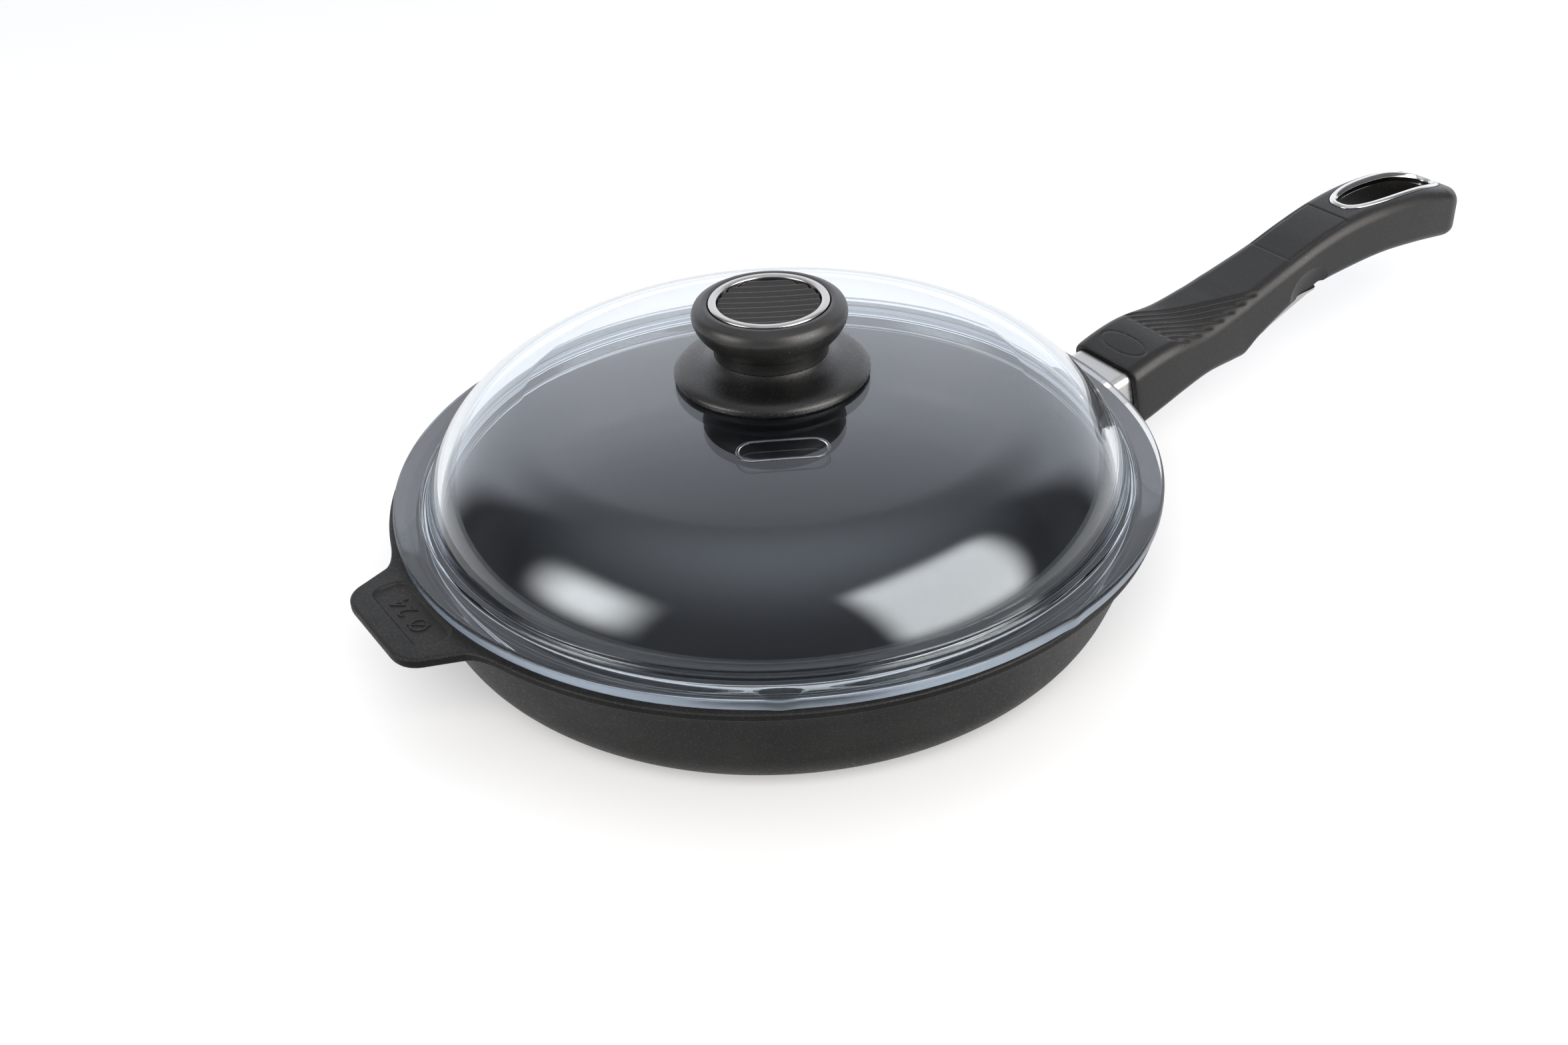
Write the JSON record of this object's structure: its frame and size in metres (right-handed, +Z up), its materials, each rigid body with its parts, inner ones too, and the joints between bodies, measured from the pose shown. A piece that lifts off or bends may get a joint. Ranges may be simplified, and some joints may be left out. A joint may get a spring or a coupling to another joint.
{
  "type": "frying pan with lid",
  "caption": "Round cast frying pan with a flat helper ear, a domed glass lid with a mushroom knob, and a curved handle that slides off its stub once the lever catch under it is pulled.",
  "frame": {"origin": "centre of the pan's flat base", "axes": "+Z up, +X towards the handle, +Y to the left of the handle seen from the pan"},
  "size_m": [0.4671, 0.2524, 0.109],
  "materials": {
    "coated_casting": "black non-stick coating, fine texture",
    "bare_aluminium": "bare, satin",
    "plain_steel": "plain stainless",
    "polished_steel": "polished",
    "handle_moulding": "matte, fine grain",
    "knob_moulding": "satin, grained",
    "lid_glass": "clear, polished",
    "silicone": "matte",
    "brass": "machined"
  },
  "bodies": {
    "pan": {"pan_body": "coated_casting", "handle_stub": "bare_aluminium", "stub_screw_left": "plain_steel", "stub_screw_right": "plain_steel", "stub_washer_left": "plain_steel", "stub_washer_right": "plain_steel"},
    "lid": {"lid_glass": "lid_glass", "knob_seal": "silicone", "knob_base": "knob_moulding", "knob_grip": "knob_moulding", "knob_nut": "brass", "knob_ring": "polished_steel", "knob_insert": "knob_moulding", "inner_seal": "silicone", "screw_washer": "plain_steel", "knob_screw": "plain_steel"},
    "handle": {"handle_shell": "handle_moulding", "hanging_loop": "polished_steel", "lever_pin": "plain_steel", "lever_spring": "plain_steel"},
    "catch": {"catch_lever": "plain_steel"}
  },
  "joints": [
    {"name": "lid_lift", "type": "slide", "parent": "pan", "child": "lid", "axis": [0, 0, 1], "range_m": [0, 0.12]},
    {"name": "handle_slide", "type": "slide", "parent": "pan", "child": "handle", "axis": [0.9781, 0, 0.2079], "range_m": [0, 0.07]},
    {"name": "catch_turn", "type": "hinge", "parent": "handle", "child": "catch", "pos_m": [0.16125, 0, 0.02241], "axis": [0, 1, 0], "range_deg": [0, 6.5], "stiffness_Nm_per_rad": 0.3, "springref_deg": -11.46, "deforming": ["lever_spring"]}
  ]
}
